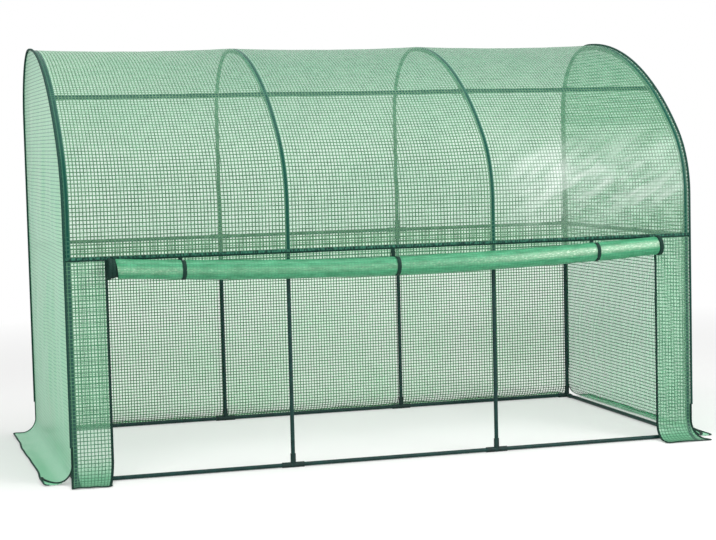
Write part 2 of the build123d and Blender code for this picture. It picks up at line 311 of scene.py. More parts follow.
def inside_edge(places, edge):
    """Which places lie inside a closed flat outline."""
    within = np.zeros(len(places), bool)
    for (u0, v0), (u1, v1) in zip(edge, np.roll(edge, -1, 0)):
        if v0 != v1:
            crosses = (v0 > places[:, 1]) != (v1 > places[:, 1])
            within ^= crosses & (places[:, 0] < (u1 - u0) * (places[:, 1] - v0) / (v1 - v0) + u0)
    return within


def stepped(edge):
    """A closed flat outline with points at most a film step apart."""
    runs = []
    for start, end in zip(edge, np.roll(edge, -1, 0)):
        parts = max(1, math.ceil(math.dist(start, end) / film_step))
        runs.append(start + (end - start) * (np.arange(parts) / parts)[:, None])
    return np.concatenate(runs)


def film_panel(name, edge, shape, finish):
    """A panel of film cut to a flat outline and hung in its shape."""
    edge = stepped(edge)
    low, high = edge.min(0), edge.max(0)
    u, v = np.meshgrid(*(np.arange(low[i] + film_step / 2, high[i], film_step) for i in (0, 1)))
    inner = np.stack([u.ravel(), v.ravel()], -1)
    inner = inner[inside_edge(inner, edge)]
    nearest = np.full(len(inner), 9.0)
    for place in edge:
        nearest = np.minimum(nearest, np.hypot(*(inner - place).T))
    places = np.concatenate([edge, inner[nearest > 0.45 * film_step]])
    ring = [(i, (i + 1) % len(edge)) for i in range(len(edge))]
    made = delaunay_2d_cdt([Vector(p) for p in places], ring, [], 1, 1e-6)
    flat = np.array([tuple(p) for p in made[0]])
    points = shape(flat[:, 0], flat[:, 1])
    faces = np.array(made[2])
    a, b, c = (points[faces[:, i]] for i in range(3))
    facing = np.cross(b - a, c - a)
    if (outward((a + b + c) / 3, facing) * facing).sum() < 0:
        faces = faces[:, ::-1]
    return plain_mesh(name, points, faces, finish, flat)


def surface_facing(shape, u, v):
    """Outward directions of a panel's shape."""
    step = 0.002
    along = shape(u + step, v) - shape(u - step, v)
    up = shape(u, v + step) - shape(u, v - step)
    facing = np.cross(along, up)
    facing = facing / np.maximum(np.linalg.norm(facing, axis=-1, keepdims=True), 1e-9)
    return outward(shape(u, v), facing)


def span(edge, axis, value):
    """Where a straight thread enters and leaves a flat outline."""
    following = np.roll(edge, -1, 0)
    here, there = edge[:, axis], following[:, axis]
    crossing = (here > value) != (there > value)
    share = (value - here[crossing]) / (there[crossing] - here[crossing])
    met = edge[crossing, 1 - axis] + share * (following[crossing, 1 - axis] - edge[crossing, 1 - axis])
    return (met.min(), met.max()) if len(met) else None


def wire(name, runs):
    """Loose lines, each a pair of points and the directions in which they face."""
    points = np.concatenate([np.asarray(run[0], float) for run in runs])
    facing = np.concatenate([np.broadcast_to(np.asarray(run[1], float), np.shape(run[0])) for run in runs])
    sizes = [len(run[0]) for run in runs]
    starts = np.cumsum([0] + sizes[:-1])
    edges = [np.stack([np.arange(n - 1), np.arange(1, n)], -1) + first for n, first in zip(sizes, starts)]
    mesh = bpy.data.meshes.new(name)
    mesh.from_pydata(points.tolist(), np.concatenate(edges).tolist(), [])
    held = mesh.attributes.new("facing", "FLOAT_VECTOR", "POINT")
    held.data.foreach_set("vector", facing.astype(np.float32).ravel())
    return put_up(name, mesh)


# Nodes

def joined(tree, value, socket):
    """Links a socket to another, or sets it to a plain value."""
    if isinstance(value, bpy.types.NodeSocket):
        tree.links.new(value, socket)
    elif socket.type == "RGBA":
        socket.default_value = (*value, 1)
    else:
        socket.default_value = value


def added(tree, kind, inputs, **settings):
    """A node of this kind with its settings, and its inputs joined or set."""
    made = tree.nodes.new(kind)
    for name, value in settings.items():
        setattr(made, name, value)
    for name, value in inputs.items():
        joined(tree, value, made.inputs[name])
    return made


def new_group(name, kind, inputs, outputs):
    """A node group with named sockets: the group, what it is given and what it makes."""
    group = bpy.data.node_groups.new(name, kind)
    for way, sockets in (("INPUT", inputs), ("OUTPUT", outputs)):
        for socket, value in sockets.items():
            group.interface.new_socket(socket, in_out=way, socket_type="NodeSocket" + value)
    return group, group.nodes.new("NodeGroupInput").outputs, group.nodes.new("NodeGroupOutput").inputs


def calculated(tree, operation, *values):
    """A Math node on sockets or numbers."""
    return added(tree, "ShaderNodeMath", dict(enumerate(values)), operation=operation).outputs[0]


def times(tree, first, second):
    """One socket or number times another."""
    return calculated(tree, "MULTIPLY", first, second)


def plus(tree, first, second):
    """One socket or number plus another."""
    return calculated(tree, "ADD", first, second)


def less(tree, first, second):
    """One socket or number less another."""
    return calculated(tree, "SUBTRACT", first, second)


def larger(tree, first, second):
    """The larger of two sockets or numbers."""
    return calculated(tree, "MAXIMUM", first, second)


# Geometry Nodes that lay threads, tapes and stitches along lines

def laying_tree(name, sizes):
    """An empty tree with its lines, its named sizes and its finish as inputs."""
    inputs = {"Lines": "Geometry", **dict.fromkeys(sizes, "Float"), "Finish": "Material"}
    return new_group(name, "GeometryNodeTree", inputs, {"Made": "Geometry"})


def facing_lines(tree, given):
    """The lines as curves that face outwards, lifted off the film."""
    facing = added(tree, "GeometryNodeInputNamedAttribute", {"Name": "facing"}, data_type="FLOAT_VECTOR")
    facing = facing.outputs["Attribute"]
    lift = added(tree, "ShaderNodeVectorMath", {0: facing, "Scale": given["Lift"]}, operation="SCALE")
    lifted = added(tree, "GeometryNodeSetPosition", {"Geometry": given["Lines"], "Offset": lift.outputs[0]})
    curve = added(tree, "GeometryNodeMeshToCurve", {"Mesh": lifted.outputs[0]}).outputs[0]
    turned = added(tree, "GeometryNodeSetCurveNormal", {"Curve": curve, "Normal": facing}, mode="FREE")
    return turned.outputs[0]


def swept(tree, given, profile, closed=False):
    """A profile drawn along the lines, with closed ends or open ones."""
    inputs = {"Curve": facing_lines(tree, given), "Profile Curve": profile.outputs[0], "Fill Caps": closed}
    return added(tree, "GeometryNodeCurveToMesh", inputs).outputs[0]


def finished(tree, given, made, shape):
    """Realizes the instances and sets the finish."""
    real = added(tree, "GeometryNodeRealizeInstances", {0: shape}).outputs[0]
    coated = added(tree, "GeometryNodeSetMaterial", {"Geometry": real, "Material": given["Finish"]})
    joined(tree, coated.outputs[0], made["Made"])
    return tree


def flat_thread_tree():
    """Flat threads that lie in the film along the lines."""
    tree, given, made = laying_tree("scrim threads along lines", ("Width", "Lift"))
    ends = {}
    for end, share in (("Start", -0.5), ("End", 0.5)):
        ends[end] = added(tree, "ShaderNodeCombineXYZ", {"Y": times(tree, given["Width"], share)}).outputs[0]
    profile = added(tree, "GeometryNodeCurvePrimitiveLine", ends)
    return finished(tree, given, made, swept(tree, given, profile))


def tape_tree():
    """A tape with rounded edges that is laid along the lines."""
    tree, given, made = laying_tree("tape along lines", ("Width", "Thickness", "Lift"))
    sizes = {"Width": given["Thickness"], "Height": given["Width"]}
    profile = added(tree, "GeometryNodeCurvePrimitiveQuadrilateral", sizes)
    edges = {"Curve": profile.outputs[0], "Radius": times(tree, given["Thickness"], 0.35)}
    rounded = added(tree, "GeometryNodeFilletCurve", edges)
    return finished(tree, given, made, swept(tree, given, rounded, True))


def stitch_tree():
    """A row of stitches, each a short round thread sunk into the tape at its ends."""
    tree, given, made = laying_tree("stitches along lines", ("Spacing", "Length", "Thread", "Lift"))
    row = {"Curve": facing_lines(tree, given), "Length": given["Spacing"]}
    places = added(tree, "GeometryNodeCurveToPoints", row, mode="LENGTH").outputs
    sizes = {"Vertices": 6, "Radius": times(tree, given["Thread"], 0.5), "Depth": given["Length"]}
    thread = added(tree, "GeometryNodeMeshCylinder", sizes).outputs["Mesh"]
    sewn = {"Points": places["Points"], "Rotation": places["Rotation"], "Instance": thread}
    return finished(tree, given, made, added(tree, "GeometryNodeInstanceOnPoints", sewn).outputs[0])


thread_lay = flat_thread_tree()
tape_lay = tape_tree()
stitch_lay = stitch_tree()


def laid(name, runs, tree, finish, **sizes):
    """What a tree lays along the lines, as a plain mesh piece."""
    made = wire(name, runs)
    worker = made.modifiers.new("laid", "NODES")
    worker.node_group = tree
    values = {**sizes, "Finish": finish}
    for socket in tree.interface.items_tree:
        if socket.in_out == "INPUT" and socket.name in values:
            worker[socket.identifier] = values[socket.name]
    found = made.evaluated_get(bpy.context.evaluated_depsgraph_get())
    mesh = bpy.data.meshes.new_from_object(found)
    made.modifiers.remove(worker)
    old = made.data
    made.data = mesh
    bpy.data.meshes.remove(old)
    mesh.name = name
    if "facing" in mesh.attributes:
        mesh.attributes.remove(mesh.attributes["facing"])
    return made


def tape(name, runs, finish, width, thickness, lift=0.0):
    """A tape laid along lines."""
    return laid(name, runs, tape_lay, finish, Width=width, Thickness=thickness, Lift=lift)


def stitches(name, runs, thread, lift):
    """Rows of stitches along lines."""
    sizes = {"Spacing": stitch_spacing, "Length": stitch_length, "Thread": thread, "Lift": lift}
    return laid(name, runs, stitch_lay, stitch_thread, **sizes)


def scrim(name, edge, shape, lift, width, gaps, finish, steps):
    """The reinforcing grid of one panel, with its own gap between threads each way."""
    runs = []
    low, high = edge.min(0), edge.max(0)
    for axis in (0, 1):
        for value in np.arange(low[axis] + gaps[axis] / 2, high[axis], gaps[axis]):
            found = span(edge, axis, value)
            if found is None or found[1] - found[0] < shortest_thread:
                continue
            parts = max(2, math.ceil((found[1] - found[0]) / steps[1 - axis]) + 1)
            flat = np.full((2, parts), value)
            flat[1 - axis] = np.linspace(*found, parts)
            runs.append((shape(*flat), surface_facing(shape, *flat)))
    return laid(name, runs, thread_lay, finish, Width=width, Lift=lift)


def edge_run(shape, flat_line, step=0.012):
    """The points and directions along a line drawn on a flat panel."""
    line = np.asarray(flat_line, float)
    far = np.concatenate([[0], np.cumsum(np.hypot(*np.diff(line, axis=0).T))])
    at = np.linspace(0, far[-1], max(2, math.ceil(far[-1] / step) + 1))
    u, v = np.interp(at, far, line[:, 0]), np.interp(at, far, line[:, 1])
    return shape(u, v), surface_facing(shape, u, v)


# Nodes that the finishes are made of

def new_finish(name, gloss, rough=0.5):
    """A material with only its Principled node: the material, its tree and that node's inputs."""
    made = bpy.data.materials.new(name)
    made.use_nodes = True
    skin = made.node_tree.nodes["Principled BSDF"].inputs
    skin["Roughness"].default_value = rough
    skin["Specular IOR Level"].default_value = gloss
    return made, made.node_tree, skin


def coordinates(tree):
    """A piece's places in the air and on its flat cloth."""
    made = tree.nodes.new("ShaderNodeTexCoord").outputs
    return made["Object"], made["UV"]


def axes(tree, where):
    """The X, Y and Z of coordinates."""
    return added(tree, "ShaderNodeSeparateXYZ", {0: where}).outputs.values()


def mapped(tree, where, **changes):
    """Coordinates turned or stretched."""
    return added(tree, "ShaderNodeMapping", {"Vector": where, **changes}).outputs[0]


def noise(tree, where, scale, detail, roughness=0.55):
    """A noise of about this scale over the given coordinates."""
    inputs = {"Vector": where, "Scale": scale, "Detail": detail, "Roughness": roughness}
    return added(tree, "ShaderNodeTexNoise", inputs).outputs["Fac"]


def bands(tree, where, direction, gap):
    """Straight soft bands this far apart."""
    inputs = {"Vector": where, "Scale": 2 * math.pi / 20 / gap}
    return added(tree, "ShaderNodeTexWave", inputs, bands_direction=direction).outputs["Fac"]


def ramp(tree, value, low, high):
    """A value moved from low..high to 0..1."""
    inputs = {"Value": value, "From Min": low, "From Max": high}
    return added(tree, "ShaderNodeMapRange", inputs).outputs["Result"]


def blended(tree, share, first, second):
    """A colour mix of two colours or sockets."""
    made = added(tree, "ShaderNodeMix", {"Factor": share}, data_type="RGBA")
    for colour, socket in zip((first, second), [s for s in made.inputs if s.type == "RGBA"]):
        joined(tree, colour, socket)
    return next(s for s in made.outputs if s.type == "RGBA")


def raised(tree, skin, height, distance, strength=1.0):
    """A bump on the finish."""
    inputs = {"Strength": strength, "Distance": distance, "Height": height}
    joined(tree, added(tree, "ShaderNodeBump", inputs).outputs[0], skin["Normal"])


def from_behind(tree):
    """1 where a face is seen from behind, which is from inside the greenhouse."""
    return tree.nodes.new("ShaderNodeNewGeometry").outputs["Backfacing"]


# Effects that more than one finish has, each a group of its own

def new_effect(name, inputs, outputs):
    """An empty effect with its inputs, and the masks and heights that it makes."""
    return new_group(name, "ShaderNodeTree", inputs, dict.fromkeys(outputs, "Float"))


def placed(tree, effect, **values):
    """What an effect makes in this finish, from its own values."""
    return added(tree, "ShaderNodeGroup", values, node_tree=effect).outputs


def woven_film_effect():
    """The film's own look: a fine weave, cloudy patches and creases."""
    group, given, made = new_effect("woven film", {"Cloth": "Vector", "Place": "Vector"}, ("Cloud", "Height"))
    weave = times(group, *(bands(group, given["Cloth"], axis, 0.0022) for axis in "XY"))
    crease = noise(group, mapped(group, given["Place"], Scale=(7, 7, 16)), 1.0, 6, 0.66)
    joined(group, noise(group, given["Place"], 3.2, 4), made["Cloud"])
    joined(group, plus(group, times(group, weave, 0.12), crease), made["Height"])
    return group


def thread_lines_effect():
    """1 where the cloth's own threads run, counted from its low corner, and 0 between them."""
    inputs = {"Cloth": "Vector", "Start": "Vector", "Gap": "Vector", "Width": "Float"}
    group, given, made = new_effect("thread lines", inputs, ("Line",))
    wide, narrow = times(group, given["Width"], 0.58), times(group, given["Width"], 0.42)
    cloth, start, gap = (axes(group, given[name]) for name in ("Cloth", "Start", "Gap"))
    lines = []
    for axis in (0, 1):
        half_gap = times(group, gap[axis], 0.5)
        from_first = less(group, cloth[axis], plus(group, start[axis], half_gap))
        lines.append(ramp(group, calculated(group, "PINGPONG", from_first, half_gap), wide, narrow))
    joined(group, larger(group, *lines), made["Line"])
    return group


def haze_effect():
    """Painted reflection: a pale sheen with long soft streaks that rise to the right, on the front of the
    right bay, from 0 to 1.
    """
    along, up, soft = (0.58, 1.52), (1.1, 1.45), 0.13
    group, given, made = new_effect("haze", {"Place": "Vector"}, ("Painted_reflection",))
    turned = mapped(group, given["Place"], Rotation=(0, math.radians(30), 0))
    long = noise(group, mapped(group, turned, Scale=(2.6, 2.6, 13)), 1.0, 5, 0.62)
    reflection_mask = plus(group, 0.17, times(group, ramp(group, long, 0.4, 0.62), 0.5))
    x, y, z = axes(group, given["Place"])
    reflection_mask = times(group, reflection_mask, ramp(group, y, 0.1, -0.1))
    for at, (low, high) in ((x, along), (z, up)):
        reflection_mask = times(group, reflection_mask, ramp(group, at, low - soft, low + soft))
        reflection_mask = times(group, reflection_mask, ramp(group, at, high + soft, high - soft))
    joined(group, reflection_mask, made["Painted_reflection"])
    return group


def on_hoops_effect():
    """1 where the film lies on a hoop, and where it is double at the left corner."""
    group, given, made = new_effect("film on hoops", {"Place": "Vector"}, ("Near",))
    x = axes(group, given["Place"])[0]
    from_hoop = calculated(group, "PINGPONG", plus(group, x, half_length), bay_length / 2)
    near = ramp(group, from_hoop, tube_radius + 0.0015, tube_radius - 0.002)
    corner = ramp(group, x, 0.014 - half_length, 0.01 - half_length)
    joined(group, larger(group, near, corner), made["Near"])
    return group


def thread_effect():
    """The uneven tone of threads, and their grain."""
    group, given, made = new_effect("thread", {"Place": "Vector"}, ("Tone", "Grain"))
    joined(group, ramp(group, noise(group, given["Place"], 22, 4), 0.35, 0.7), made["Tone"])
    joined(group, noise(group, given["Place"], 1800, 1), made["Grain"])
    return group


def ribbed_tape_effect():
    """The fuzzy ribs of a binding tape: where they catch the light, and their height."""
    group, given, made = new_effect("ribbed tape", {"Place": "Vector"}, ("Lit", "Height"))
    rib, fuzz = bands(group, given["Place"], "DIAGONAL", 0.0016), noise(group, given["Place"], 700, 3)
    joined(group, times(group, rib, fuzz), made["Lit"])
    joined(group, plus(group, rib, fuzz), made["Height"])
    return group


woven_film = woven_film_effect()
thread_lines = thread_lines_effect()
right_bay_haze = haze_effect()
on_hoops = on_hoops_effect()
thread_look = thread_effect()
ribbed_tape = ribbed_tape_effect()


# Finishes

def dark_on_tubes_with_shade(tree, place, up=None, bars=()):
    """Where the film is dark, seen from outside: on the hoops, and on bars at places up the cloth.
    It is partly the dark tube showing where the film lies on it, and partly painted shade.
    """
    near = placed(tree, on_hoops, Place=place)["Near"]
    for bar, half in bars:
        away = calculated(tree, "ABSOLUTE", less(tree, up, bar))
        near = larger(tree, near, ramp(tree, away, half + 0.002, half - 0.002))
    return times(tree, near, less(tree, 1, from_behind(tree)))


def film_finish(name, colours, covers, rough=0.32, gloss=0.3, **layers):
    """A green film, with its colour and how much it covers where it is clear and where it is cloudy.

    Its layers can be ridge, how much more it covers up there, where a painted shade also darkens it; a
    painted reflection; threads, its own lines; foot, the colour of its skirt, also painted as shade towards
    the bottom;
    inside, its share of cover from there, where painted light makes it a brighter green; and bars, on which
    it is dark with painted shade, as it is on the hoops.
    """
    finish, tree, skin = new_finish(name, gloss, rough)
    place, cloth = coordinates(tree)
    look = placed(tree, woven_film, Cloth=cloth, Place=place)
    cloud = ramp(tree, look["Cloud"], 0.35, 0.68)
    colour = blended(tree, cloud, *colours)
    cover = plus(tree, covers[0], times(tree, cloud, covers[1] - covers[0]))
    x, _, z = axes(tree, place)
    if "ridge" in layers:
        top = ramp(tree, z, 1.45, 1.9)
        cover = plus(tree, cover, times(tree, top, layers["ridge"]))
        # Painted shade: the roof darker towards its top, fading out towards the left end
        shaded = times(tree, top, ramp(tree, x, -1.5, -0.5))
        colour = blended(tree, shaded, colour, (0.07, 0.28, 0.165))
    # Painted reflection: pale streaks over the right bay's front, where the film also covers more
    if "haze" in layers:
        sheen = placed(tree, layers["haze"], Place=place)["Painted_reflection"]
        colour = blended(tree, sheen, colour, (0.85, 0.85, 0.84))
        cover = plus(tree, cover, times(tree, sheen, 0.45))
    if "threads" in layers:
        line = placed(tree, thread_lines, Cloth=cloth, **layers["threads"])["Line"]
        colour = blended(tree, line, colour, (0.05, 0.28, 0.16))
    if "foot" in layers:
        laid_down = ramp(tree, z, 0.2, 0.03)
        # Painted shade: the film darker towards the bottom, in the foot colour that the skirt laid on the
        # floor also has
        painted_shade_below = times(tree, ramp(tree, z, 1.7, 0.2), 0.5)
        colour = blended(tree, larger(tree, painted_shade_below, laid_down), colour, layers["foot"])
        cover = larger(tree, cover, times(tree, laid_down, 0.93))
    if "inside" in layers:
        behind = from_behind(tree)
        cover = times(tree, cover, less(tree, 1, times(tree, behind, 1 - layers["inside"])))
        # Painted light: seen from inside, the film turns a brighter green, as if lit through it
        colour = blended(tree, times(tree, behind, 0.85), colour, (0.12, 0.98, 0.4))
    if "bars" in layers:
        dark_band = dark_on_tubes_with_shade(tree, place, axes(tree, cloth)[1], layers["bars"])
        # Painted shade with the dark of the tube showing through, where the film lies on hoops and bars
        colour = blended(tree, dark_band, colour, (0.006, 0.06, 0.042))
        cover = larger(tree, cover, times(tree, dark_band, 0.92))
    joined(tree, colour, skin["Base Color"])
    joined(tree, cover, skin["Alpha"])
    skin["IOR"].default_value = 1.5
    raised(tree, skin, look["Height"], 0.0016)
    return finish


def painted_tube_finish():
    """Dark green powder coat on steel tube."""
    finish, tree, skin = new_finish("dark green powder coat", 0.22)
    place, _ = coordinates(tree)
    wear_and_highlight = noise(tree, place, 38, 5)
    colour = blended(tree, ramp(tree, wear_and_highlight, 0.35, 0.75), (0.001, 0.02, 0.017), (0.004, 0.04, 0.034))
    joined(tree, colour, skin["Base Color"])
    joined(tree, plus(tree, 0.34, times(tree, wear_and_highlight, 0.25)), skin["Roughness"])
    raised(tree, skin, noise(tree, place, 900, 2), 0.0002, 0.5)
    return finish


def moulded_finish():
    """Dark green moulded plastic, a little mottled and rough."""
    finish, tree, skin = new_finish("dark green moulded plastic", 0.25)
    place, _ = coordinates(tree)
    grain = noise(tree, place, 1400, 3)
    flow = noise(tree, mapped(tree, place, Scale=(60, 60, 20)), 1.0, 3)
    colour = blended(tree, ramp(tree, flow, 0.35, 0.7), (0.002, 0.013, 0.011), (0.006, 0.033, 0.028))
    joined(tree, colour, skin["Base Color"])
    joined(tree, plus(tree, 0.42, times(tree, grain, 0.2)), skin["Roughness"])
    raised(tree, skin, grain, 0.00025, 0.6)
    return finish


def binding_finish(name, dark, light):
    """Ribbed binding tape."""
    finish, tree, skin = new_finish(name, 0.25, 0.75)
    look = placed(tree, ribbed_tape, Place=coordinates(tree)[0])
    joined(tree, blended(tree, look["Lit"], dark, light), skin["Base Color"])
    raised(tree, skin, look["Height"], 0.0003, 0.7)
    return finish


def thread_finish(name, dark, light):
    """Threads of slightly different greens."""
    finish, tree, skin = new_finish(name, 0.15)
    look = placed(tree, thread_look, Place=coordinates(tree)[0])
    joined(tree, blended(tree, look["Tone"], dark, light), skin["Base Color"])
    raised(tree, skin, look["Grain"], 0.0001, 0.4)
    return finish


def roof_scrim_finish():
    """The roof's scrim lies on the outside: dark from there, and pale through the film from inside."""
    finish, tree, skin = new_finish("roof scrim thread", 0.06)
    place, _ = coordinates(tree)
    tone = placed(tree, thread_look, Place=place)["Tone"]
    colour = blended(tree, tone, (0.056, 0.13, 0.074), (0.095, 0.2, 0.118))
    # The same painted reflection on the threads over the film
    sheen = placed(tree, right_bay_haze, Place=place)["Painted_reflection"]
    colour = blended(tree, times(tree, sheen, 0.46), colour, (0.66, 0.7, 0.68))
    # Darker over the hoops: the tube showing through, with painted shade
    colour = blended(tree, times(tree, dark_on_tubes_with_shade(tree, place), 0.7), colour, (0.018, 0.1, 0.07))
    behind = from_behind(tree)
    joined(tree, blended(tree, behind, colour, (0.45, 0.78, 0.55)), skin["Base Color"])
    joined(tree, less(tree, 1, times(tree, behind, 0.75)), skin["Alpha"])
    return finish


def roll_finish():
    """The wound film: a fine grid of threads and turns, mottled in tone, under one painted highlight: a pale
    band along it with brighter flecks.
    """
    finish, tree, skin = new_finish("rolled film", 0.35, 0.34)
    place, cloth = coordinates(tree)
    x, around, _ = axes(tree, cloth)
    blotch = noise(tree, mapped(tree, cloth, Scale=(14, 60, 1)), 1.0, 5, 0.62)
    colour = blended(tree, ramp(tree, blotch, 0.36, 0.66), (0.02, 0.185, 0.078), (0.06, 0.325, 0.16))
    grid = {"Start": (0, 0, 0), "Gap": (thread_gap, 0.0118, 1), "Width": 0.0036}
    line = placed(tree, thread_lines, Cloth=cloth, **grid)["Line"]
    colour = blended(tree, times(tree, line, 0.42), colour, (0.008, 0.12, 0.06))
    # Painted highlight: a pale band round the roll at a set place, strongest to the right and fainter to the
    # left, with flecks
    highlight_line = less(tree, roll_highlight_around, times(tree, x, roll_highlight_slope))
    away = calculated(tree, "ABSOLUTE", less(tree, around, highlight_line))
    at_left = larger(tree, times(tree, ramp(tree, x, -0.7, -1.1), 0.5), 0.28)
    wear_and_highlight = times(tree, ramp(tree, away, 0.024, 0.005), larger(tree, ramp(tree, x, 0.1, 0.8), at_left))
    highlight_speck = ramp(tree, noise(tree, mapped(tree, cloth, Scale=(60, 210, 1)), 1.0, 4, 0.7), 0.52, 0.66)
    highlight_streak = times(tree, wear_and_highlight, plus(tree, 0.26, times(tree, highlight_speck, 0.74)))
    joined(tree, blended(tree, highlight_streak, colour, (0.64, 0.78, 0.6)), skin["Base Color"])
    raised(tree, skin, placed(tree, woven_film, Cloth=cloth, Place=place)["Height"], 0.002)
    return finish


def seam_finish():
    """The seam: film drawn dark over its bar in uneven ribs, with the sewn edge darkest along its foot."""
    finish, tree, skin = new_finish("ribbed seam band", 0.2, 0.6)
    place, _ = coordinates(tree)
    rib = ramp(tree, noise(tree, mapped(tree, place, Scale=(150, 1, 45)), 1.0, 2, 0.6), 0.42, 0.62)
    above = ramp(tree, axes(tree, place)[2], bar_height - 0.0045, bar_height - 0.001)
    colour = blended(tree, times(tree, rib, above), (0.0, 0.022, 0.016), (0.03, 0.16, 0.1))
    joined(tree, colour, skin["Base Color"])
    raised(tree, skin, rib, 0.0005, 0.8)
    return finish


roof_film = film_finish(
    "roof film", ((0.26, 0.57, 0.35), (0.19, 0.48, 0.29)), (0.2, 0.3), 0.34, 0.06,
    ridge=0.16, haze=right_bay_haze, bars=((roof_bar_travel - 0.012, 0.017),),
)
back_wall_film = film_finish("back wall film", ((0.17, 0.95, 0.33), (0.12, 0.86, 0.28)), (0.17, 0.3), bars=())
wall_lines = {
    "Start": (-end_y, lowest_level, 0),
    "Gap": (thread_gap, wall_thread_gap, 1),
    "Width": wall_thread,
}
wall_film = film_finish(
    "end wall film", ((0.42, 0.8, 0.52), (0.32, 0.7, 0.45)), (0.86, 0.95),
    threads=wall_lines, foot=(0.19, 0.58, 0.34), inside=0.46,
)
strip_film = film_finish(
    "front strip film", ((0.36, 0.68, 0.44), (0.25, 0.56, 0.33)), (0.32, 0.48),
    foot=(0.13, 0.36, 0.21), bars=(),
)
rolled_film = roll_finish()
back_scrim = thread_finish("scrim thread", (0.05, 0.16, 0.076), (0.092, 0.245, 0.13))
wall_scrim = thread_finish("end wall scrim thread", (0.03, 0.15, 0.08), (0.06, 0.22, 0.13))
strip_scrim = thread_finish("front strip scrim thread", (0.045, 0.14, 0.08), (0.08, 0.21, 0.125))
roof_scrim = roof_scrim_finish()
tube_coat = painted_tube_finish()
moulded_plastic = moulded_finish()
dark_tape = binding_finish("dark green tape", (0, 0.014, 0.009), (0.002, 0.045, 0.03))
edge_tape = binding_finish("green edge tape", (0.001, 0.026, 0.018), (0.006, 0.072, 0.05))
seam_tape = seam_finish()
stitch_thread = thread_finish("stitching thread", (0.001, 0.02, 0.014), (0.005, 0.06, 0.04))


# The frame keeps its own meshes and takes the finishes

for name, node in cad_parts.items():
    coat = moulded_plastic if "connectors" in name else tube_coat
    for place in node.material_slots:
        place.material = coat


# Outlines of the flat panels

def rounded_corner(corner, before, after):
    """A flat corner rounded from one way to the other, given as steps from the corner."""
    corner = np.array(corner, float)
    start, end = corner + before, corner + after
    share = np.linspace(0, 1, corner_points)[:, None]
    return (1 - share) ** 2 * start + 2 * share * (1 - share) * corner + share**2 * end


def box_outline(half_width, low, high):
    """A flat rectangle about the middle of the greenhouse."""
    return np.array([(-half_width, low), (half_width, low), (half_width, high), (-half_width, high)], float)


def end_outline():
    """An end wall's flat outline, from its back foot over the roof to its front foot."""
    y, z, _, _ = hoop_line(np.linspace(0, cover_length(film_offset), 150), film_offset)
    front = rounded_corner((-end_y, lowest_level), (0, 0.02), (0.04, 0))
    back = rounded_corner((end_y, lowest_level), (-0.02, 0), (0, 0.02))
    return np.concatenate([back, np.stack([y, z], -1)[::-1], front])


def strip_outline(side):
    """A front strip's flat outline, with its door corner rounded at the foot."""
    inner, outer = side * door_half, side * end_x
    corner = rounded_corner((inner, lowest_level), (0, 0.022), (side * 0.022, 0))
    return np.concatenate([corner, [(outer, lowest_level), (outer, bar_height), (inner, bar_height)]])


def door_outline():
    """The free part of the door, from the roll's centre line up to the seam."""
    x = np.linspace(-door_half, door_half, 61)
    top = [(door_half, bar_height), (-door_half, bar_height)]
    return np.concatenate([np.stack([x, roll_height(x)], -1), top])


# Film panels and their reinforcing grid
# A weave is its lift off the film, its threads' width, their gaps, their finish and how finely they follow

wall_gaps = (thread_gap, wall_thread_gap)
fine_steps = (film_step, film_step)
roof_weave = (0.0004, roof_thread, (thread_gap, roof_thread_gap), roof_scrim, (0.05, film_step))
back_weave = (-0.0004, back_thread, (thread_gap, thread_gap), back_scrim, (0.03, film_step))
wall_weave = (-0.0012, wall_thread, wall_gaps, wall_scrim, fine_steps)
strip_weave = (0.0004, wall_thread, wall_gaps, strip_scrim, fine_steps)


def cover_panel(name, node, edge, shape, film, weave):
    """A panel of film with its grid, cut to its outline, in place of the node that it stands for."""
    film_piece = film_panel(name, edge, shape, film)
    grid = scrim(name.replace("film", "scrim"), edge, shape, *weave)
    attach(film_piece, "root")
    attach(grid, "root")
    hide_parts(node)


cover_panel(
    "roof_film", "roof_cover", box_outline(end_x, 0, cover_length(film_offset)),
    roof_shape, roof_film, roof_weave,
)
cover_panel(
    "back_film", "back_cover", box_outline(end_x, lowest_level, bar_height),
    back_shape, back_wall_film, back_weave,
)
for side, word in sides:
    cover_panel(
        word + "_end_film", word + "_end_cover", end_outline(),
        end_shape(side), wall_film, wall_weave,
    )
for side, word in sides:
    cover_panel(
        word + "_strip_film", word + "_front_cover", strip_outline(side),
        strip_shape(side), strip_film, strip_weave,
    )
cover_panel(
    "door_free_film", "door_film", door_outline(),
    door_shape, strip_film, strip_weave,
)


# The rolled door

def roll_place(x, angle, radius):
    """A place on a ring about the rolled door's centre line; the angle turns from its back over its top."""
    slope = x / sag_radius
    lean = radius * np.sin(angle)
    height = roll_height(x) + lean * np.sqrt(1 - slope**2)
    return np.stack([x - lean * slope, roll_y + radius * np.cos(angle), height], -1)


def near_ties(x, reach):
    """1 at each tie, falling off within this reach."""
    return sum(np.exp(-(((x - place) / reach) ** 2)) for place in bay_places)


